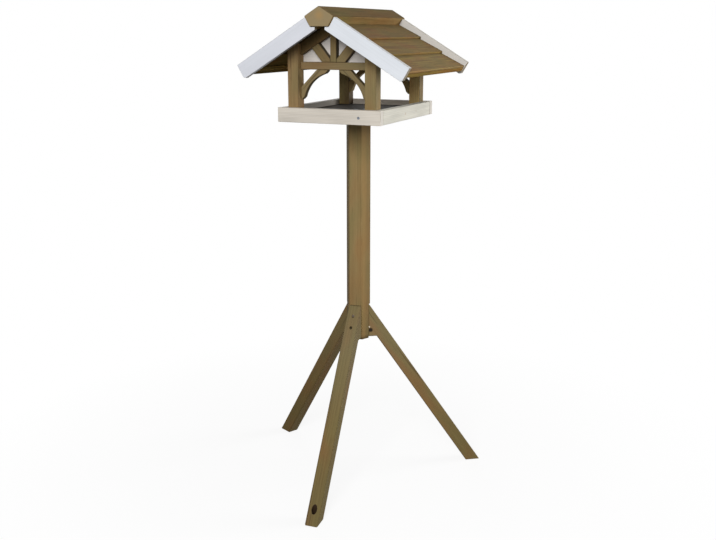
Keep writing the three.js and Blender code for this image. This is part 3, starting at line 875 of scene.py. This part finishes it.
def around(outline, radius):
    """The columns of the surface: for each, the core point, the arm's direction, the shading
    directions on its two sides, and its share of the arris. The core is the corner less the
    radius times the corner's mitre, and the arm turns evenly from one side's outward direction
    to the next. A corner that points outwards has a fan of columns, and one that points inwards
    has a single column on its mitre."""
    edge = np.roll(outline, -1, axis=0) - outline
    outward = np.stack([edge[:, 1], -edge[:, 0]], axis=1)
    outward /= np.linalg.norm(outward, axis=1, keepdims=True)
    before, after = np.roll(outward, 1, axis=0), outward
    cosine = np.sum(before * after, axis=1)
    sine = before[:, 0] * after[:, 1] - before[:, 1] * after[:, 0]
    mitre = (before + after) / (1 + cosine)[:, None]
    core = outline - radius * mitre
    share = np.linspace(0, 1, CORNER_STEPS + 1)
    start, swing = np.arctan2(before[:, 1], before[:, 0]), np.arctan2(sine, cosine)
    angle = start[:, None] + swing[:, None] * share
    arm = np.stack([np.cos(angle), np.sin(angle)], axis=2)
    arrive, leave = arm.copy(), arm.copy()
    inward = sine < 0
    arm[inward] = mitre[inward, None]
    arrive[inward], leave[inward] = before[inward, None], after[inward, None]
    arris = np.sin(math.pi * share) * (~inward)[:, None]
    keep = ~inward[:, None] | (share == 0)
    core = np.broadcast_to(core[:, None], arm.shape)
    return core[keep], arm[keep], arrive[keep], leave[keep], arris[keep]


print("a corner costs", CORNER_STEPS, "strips of faces")

# %% Along the stick
EDGE_STEPS = 4
WAVES = ((170 * MM, 1.0), (67 * MM, 2.3), (31 * MM, 3.7))  # length, and share of the phase


def lengthways(start, stop, edge, middle_rows):
    """The rows of the surface: for each, its y, how far the arm is folded in, how much the
    surface faces along Y, and its share of the arris. Over each end the arm folds by a quarter
    turn: y goes with the fold's sine, and the arm's length with its cosine."""
    fold = np.linspace(-math.pi / 2, 0, EDGE_STEPS + 1)
    middle = np.linspace(start + edge, stop - edge, middle_rows + 2)[1:-1]
    inset = edge * (1 + np.sin(fold))
    y = np.concatenate([start + inset, middle, stop - inset[::-1]])
    tilt = np.concatenate([np.sin(fold), np.zeros(middle_rows), -np.sin(fold[::-1])])
    return y, edge * (1 - np.sqrt(1 - tilt ** 2)), tilt, 2 * np.abs(tilt) * np.sqrt(1 - tilt ** 2)


def uneven(y, phase):
    """A slow, smooth unevenness between 0 and 1: a half plus a sixth of the sum of three waves of
    31 to 170 mm along the stick, each with its own phase for every column."""
    waves = sum(np.sin(math.tau * y[:, None] / length + phase[None, :] * turn)
                for length, turn in WAVES)
    return 0.5 + waves / 6


print("an end costs", EDGE_STEPS, "strips of faces")


# %% From a mesh to a piece
def grid_faces(rows, columns):
    """The numbers of a grid's points, those of their neighbours in the next column, and its faces,
    four-sided and facing outwards. The last column joins the first."""
    number = np.arange(rows * columns).reshape(rows, columns)
    beside = np.roll(number, -1, axis=1)
    quads = np.stack([number[:-1], number[1:], beside[1:], beside[:-1]], axis=2)
    return number, beside, quads.reshape(-1, 4).tolist()


def in_scene(name, data):
    """Puts a new object into the scene."""
    made = bpy.data.objects.new(name, data)
    bpy.context.scene.collection.objects.link(made)
    return made


def placed(mesh, node):
    """Puts a mesh into the scene in place of a CAD node, under the root body, and hides that node.
    """
    piece = in_scene(f"dressed_{node}", mesh)
    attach(piece, "root")
    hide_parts(node)
    return piece


def coated(piece, material):
    """Gives an object one material in all its slots."""
    piece.data.materials.clear()
    piece.data.materials.append(material)


print("a grid of 3 by 4 points has", len(grid_faces(3, 4)[2]), "faces")

# %% Straight timber
ARRISES = {"gable_panel": 0.5 * MM, "roof_plank": 0.8 * MM, "eaves_strip": 1.2 * MM,
           "barge_board": 1.4 * MM, "ridge_beam": 1.8 * MM, "tray_rim": 1.8 * MM}
USUAL_ARRIS, CORNER_SHARE = 1.6 * MM, 1.3
WEAR = {"roof_plank": 0.5 * MM, "eaves_strip": 0.8 * MM, "ridge_beam": 0.8 * MM}
WORN_ROWS = 40


def timber(node):
    """Builds a straight piece in place of its CAD node: every point is the core point plus the
    arm, which is shorter where the arris is worn or folds over the end of the stick."""
    edge, wear = of_family(ARRISES, node, USUAL_ARRIS), of_family(WEAR, node, 0.0)
    corner = CORNER_SHARE * edge
    low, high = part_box(node)
    outline = front_outline(node)
    if node.startswith("knee_brace"):
        outline = scooped(outline, node.rpartition("_")[2])
    core, arm, arrive, leave, across = around(outline, corner)
    y, fold, tilt, over = lengthways(low.y, high.y, edge, WORN_ROWS if wear else 0)
    worn = wear * uneven(y, np.cumsum(across)) * across[None, :]
    reach = (corner - fold)[:, None] - worn
    flat = core[None] + reach[:, :, None] * arm[None]
    back = np.broadcast_to(y[:, None], reach.shape)
    points = np.stack([flat[:, :, 0], back, flat[:, :, 1]], axis=2)
    number, _, faces = grid_faces(*reach.shape)
    faces += [number[0].tolist(), number[-1][::-1].tolist()]

    lie = np.sqrt(1 - tilt ** 2)

    def shading(side):
        turned = lie[:, None, None] * side[None]
        along = np.broadcast_to(tilt[:, None], turned.shape[:2])
        return np.stack([turned[:, :, 0], along, turned[:, :, 1]], axis=2)

    left, right = shading(leave), np.roll(shading(arrive), -1, axis=1)
    corners = np.stack([left[:-1], left[1:], right[1:], right[:-1]], axis=2).reshape(-1, 3)
    caps = np.repeat([[0.0, -1.0, 0.0], [0.0, 1.0, 0.0]], len(across), axis=0)

    mesh = bpy.data.meshes.new(f"timber_{node}")
    mesh.from_pydata(points.reshape(-1, 3).tolist(), [], faces)
    share = np.maximum(across[None, :] * lie[:, None], over[:, None]).astype(np.float32)
    mesh.attributes.new("arris", "FLOAT", "POINT").data.foreach_set("value", share.ravel())
    mesh.normals_split_custom_set(np.concatenate([corners, caps]).tolist())
    return placed(mesh, node)


print("arrises of", sorted({round(size / MM, 1) for size in ARRISES.values()}), "mm")

# %% [markdown]
# The feeding house
#
# Four corner posts carry the two gables: a tie beam, a king post, two struts, two rafters and two
# scooped knee braces, with a thin painted panel nailed behind. They could be modelled one by one,
# but they are all straight sticks, so one loop over their names makes them, front and rear alike.

# %% Corner posts and gables
ENDS = ("front", "rear")
SIDES = ("left", "right")

for end in ENDS:
    for node in (f"tie_beam_{end}", f"king_post_{end}"):
        coated(timber(node), stained_pine(node, "timber"))
    panel = f"gable_panel_{end}"
    coated(timber(panel), painted_pine(panel, "white_panel"))
    for side in SIDES:
        for family in ("corner_post", "rafter", "strut", "knee_brace"):
            node = f"{family}_{end}_{side}"
            coated(timber(node), stained_pine(node, "timber"))
print("house pieces dressed")

# %% [markdown]
# The roof
#
# Three planks on each slope lap over one another like weatherboard. One slab with grooves would
# look much the same from afar, but real laps throw real shadows. The planks are thin, so their
# arrises are sharper than a post's but more worn by rain and handling. The ridge beam is
# stained, and its ends show the rings of a small tree.

# %% Planks, strips, beam and barge boards
PLANKS = 3

for side in SIDES:
    for number in range(1, PLANKS + 1):
        node = f"roof_plank_{side}_{number}"
        coated(timber(node), stained_pine(node, "roofing"))
    strip = f"eaves_strip_{side}"
    coated(timber(strip), stained_pine(strip, "roofing"))
    for end in ENDS:
        node = f"barge_board_{end}_{side}"
        coated(timber(node), painted_pine(node, "white_paint"))
coated(timber("ridge_beam"), stained_pine("ridge_beam", "beam"))
print("roof pieces dressed")

# %% [markdown]
# The tray and the stand
#
# The floor, the end rims, the legs and the post keep their CAD solids, because their shape is
# right: they are cut with the holes that their screws and pegs go through. They only need their
# finish. The side rims have no holes, so they are made like the other sticks.

# %% Tray, post and legs
for node in ("tray_rim_left", "tray_rim_right"):
    coated(timber(node), painted_pine(node, "cream_wash"))
for node in ("tray_rim_front", "tray_rim_rear"):
    coated(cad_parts[node], painted_pine(node, "cream_wash"))
coated(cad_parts["tray_floor"], stained_pine("tray_floor", "floor"))
coated(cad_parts["post"], stained_pine("post", "timber"))
for node in ("leg_front", "leg_right", "leg_left"):
    coated(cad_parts[node], stained_pine(node, "leg"))
print("tray and stand finished")

# %% [markdown]
# Screws
#
# The screws are countersunk, with a cross recess pressed into the head. The recess could be cut
# out with a boolean, which leaves ragged triangles. Here each screw is one surface: a profile is
# carried round the screw's axis, and near the middle of the head the surface dips by the depth of
# the nearest arm of the cross.

# %% Measuring a screw
def measured(node, way):
    """The top of a screw's axis, and its length, head radius and shank radius, read from its CAD
    node along the direction that its head faces."""
    points = vertices_of(node)
    station = points @ way
    top = points[station > station.max() - TOUCH].mean(axis=0)
    spread = points - top
    radial = np.linalg.norm(spread - np.outer(spread @ way, way), axis=1)
    length = np.ptp(station)
    return top, length, radial.max(), radial[station < station.max() - length / 2].max()


rim_screw = measured("rim_screw_front", -np.array(BACK))
print("a rim screw is", round(rim_screw[1] / MM, 1), "mm long")

# %% A screw with a cross recess
SCREW_COLUMNS, HEAD_RINGS = 48, 10
RECESS_SHARE, RECESS_DEPTH_SHARE, ARM_SHARE = 0.56, 0.4, 0.13  # of the head's radius
RIM_DROP = 0.06  # of the head's radius, by which its outermost ring is eased
CONE_SLOPE = 1.4  # the cone's depth over the step from head to shank


def screw(node, way):
    """Builds a screw in place of its CAD node. The profile is the flat head, the cone and the
    shank. Inside the two crossed arms, the recess is as deep as its deepest point times the square
    root of 1 minus the distance from the axis over the recess's radius."""
    way = np.array(way, float)
    top, length, head, shank = measured(node, way)
    radius = np.concatenate([np.linspace(0, head, HEAD_RINGS + 1)[1:], [shank, shank]])
    depth = np.concatenate([
        np.zeros(HEAD_RINGS), [CONE_SLOPE * (head - shank), length - shank]])
    turn = np.arange(SCREW_COLUMNS) * math.tau / SCREW_COLUMNS
    x, y = radius[:, None] * np.cos(turn), radius[:, None] * np.sin(turn)
    arm = np.minimum(np.abs(x), np.abs(y)) < ARM_SHARE * head
    fall = np.clip(1 - radius / (RECESS_SHARE * head), 0, 1) ** 0.5
    on_head = (depth == 0) & (radius < head)
    dip = np.where(arm, fall[:, None], 0) * on_head[:, None] * RECESS_DEPTH_SHARE * head
    rim = np.where((radius == head) & (depth == 0), RIM_DROP * head, 0.0)
    down = depth[:, None] + dip + rim[:, None]

    side = np.cross(way, (0.0, 0.0, 1.0) if abs(way[2]) < 0.9 else (1.0, 0.0, 0.0))
    side /= np.linalg.norm(side)
    other = np.cross(way, side)
    surface = top + x[..., None] * side + y[..., None] * other - down[..., None] * way
    centre, tip = top - RECESS_DEPTH_SHARE * head * way, top - length * way
    number, beside, quads = grid_faces(*x.shape)
    middle, end = x.size, x.size + 1
    crown = [[middle, a, b] for a, b in zip(number[0].tolist(), beside[0].tolist())]
    point = [[end, b, a] for a, b in zip(number[-1].tolist(), beside[-1].tolist())]
    made = bpy.data.meshes.new(f"screw_{node}")
    vertices = np.concatenate([surface.reshape(-1, 3), [centre, tip]])
    made.from_pydata(vertices.tolist(), [], quads + crown + point)
    return placed(made, node)


print("a screw has", (HEAD_RINGS + 2) * SCREW_COLUMNS + 2, "points")

# %% All screws
for end, outwards in (("front", -BACK), ("rear", BACK)):
    coated(screw(f"rim_screw_{end}", outwards), ZINC)
    for side in SIDES:
        coated(screw(f"house_screw_{end}_{side}", -UP), ZINC)
for leg, turn in LEG_TURNS.items():
    coated(screw(f"post_screw_{leg}", UP), ZINC)
    for place in ("upper", "lower"):
        coated(screw(f"leg_screw_{leg}_{place}", level(turn)), STAINED_ZINC)
print("screws made")

# %% [markdown]
# The camera
#
# The camera stands where the photograph was taken from. One could turn it by eye until the
# picture looks right, but its place, its two angles and its lens come from a least-squares fit of
# measured corners, so every edge of the render can be laid over the photograph.

# %% Camera
PHOTO_WIDTH, FOCAL_PIXELS = 716, 923.46
SENSOR = 36.0
EYE = Vector((1.0788, -2.4576, 1.3375))
PITCH, HEADING = 75.49, 23.73

camera_data = bpy.data.cameras.new("camera")
camera_data.sensor_width = SENSOR
camera_data.lens = SENSOR * FOCAL_PIXELS / PHOTO_WIDTH
camera = in_scene("camera", camera_data)
turn = Euler((math.radians(PITCH), 0, math.radians(HEADING)))
camera.matrix_world = Matrix.LocRotScale(EYE, turn, None)
bpy.context.scene.camera = camera
print("lens", round(camera_data.lens, 2), "mm")

# %% [markdown]
# Floor and sky
#
# The table stands on a pale floor in soft daylight. A real white floor would need so much light
# that the paint would wash out. So the floor and the world only look white, to the camera and in
# the metal of the screws, while the light that they give to the wood is held down. A faint shadow
# is left on the floor, so that the feet stand on something.

# %% Floor
FLOOR_HALF = 9.0
FLOOR_ROUGHNESS = 0.9
FLOOR_SEEN, FLOOR_UNSEEN = "#fafafa", "#828282"
FADE_START, FADE_END, FADE_LEAST = 0.45, 1.3, 0.86  # two distances, and the least plain white


def background_rays(tree):
    """1 for rays from the camera, from a mirror-like reflection or through glass, else 0."""
    path = add(tree, "LightPath").outputs
    seen = maths(tree, "MAXIMUM", path["Is Camera Ray"], path["Is Glossy Ray"])
    return maths(tree, "MAXIMUM", seen, path["Is Transmission Ray"])


def floor_material():
    """Matt floor. To the camera it is mostly plain white, so that only a faint shadow shows, and
    wholly so away from the table. To other rays it is a dark grey, so that it throws no more light
    up than a lawn would."""
    material, tree, shader = new_material("studio_floor")
    seen = background_rays(tree)
    tone = layered(tree, colour(FLOOR_UNSEEN), (seen, 1, colour(FLOOR_SEEN)))
    fill_in(tree, shader, {
        "Base Color": tone, "Roughness": FLOOR_ROUGHNESS, "Specular IOR Level": 0.0})
    here = add(tree, "TexCoord", (), "Object")
    away = add(tree, "VectorMath", (here,), "Value", operation="LENGTH")
    fade = ramp(tree, away, FADE_START, FADE_END, FADE_LEAST)
    plain = maths(tree, "MULTIPLY", fade, seen)
    white = add(tree, "Emission", {"Color": WHITE, "Strength": 1.0}, 0)
    both = add(tree, "MixShader", (plain, shader.outputs["BSDF"], white), 0)
    output = next(node for node in tree.nodes if node.bl_idname == "ShaderNodeOutputMaterial")
    fill_in(tree, output, {"Surface": both})
    return material


floor_mesh = bpy.data.meshes.new("floor")
square = [(x * FLOOR_HALF, y * FLOOR_HALF, 0) for x, y in ((-1, -1), (1, -1), (1, 1), (-1, 1))]
floor_mesh.from_pydata(square, [], [(0, 1, 2, 3)])
floor = in_scene("floor", floor_mesh)
coated(floor, floor_material())
print("floor", 2 * FLOOR_HALF, "m wide")

# %% Sky
SKY_LEVEL = 0.25
world = bpy.data.worlds.new("daylight")
world.use_nodes = True
bpy.context.scene.world = world
sky = world.node_tree
sky.nodes.clear()
fill = add(sky, "Background", {"Color": WHITE, "Strength": SKY_LEVEL}, 0)
plain_white = add(sky, "Background", {"Color": WHITE, "Strength": 1.0}, 0)
sky_mix = add(sky, "MixShader", (background_rays(sky), fill, plain_white), 0)
add(sky, "OutputWorld", {"Surface": sky_mix})
print("sky level", SKY_LEVEL)

# %% [markdown]
# Lamps
#
# A sun lamp would draw hard shadows that this soft light does not have, so large square lamps are
# used. The key lamp hangs straight in front and above, and the overhang of the roof throws its
# shadow on the tops of the gables. A second lamp lights the faces on the right, and a weak one
# keeps the back from going black.

# %% Lamps
AIM = Vector((0, 0, 0.9))
LAMPS = {  # place and side in metres, and power in watts
    "key": ((0.87, -4.1, 2.7), 2.0, 172),
    "side": ((3.65, 2.55, 1.7), 2.0, 130),
    "back": ((-2.6, 3.6, 1.6), 2.4, 40),
}


def lamp(name, place, size, power):
    """A square area lamp at a place, aimed at the middle of the table."""
    data = bpy.data.lights.new(name, "AREA")
    data.size = size
    data.energy = power
    light = in_scene(name, data)
    light.matrix_world = Matrix.LocRotScale(
        Vector(place), (AIM - Vector(place)).to_track_quat("-Z", "Y"), None)


for name, (place, size, power) in LAMPS.items():
    lamp(name, place, size, power)
bpy.context.scene.view_settings.view_transform = "Standard"
print("lamps:", ", ".join(LAMPS))

# %% Number of CAD nodes, and the end
print("sizes written for", len(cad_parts), "nodes")
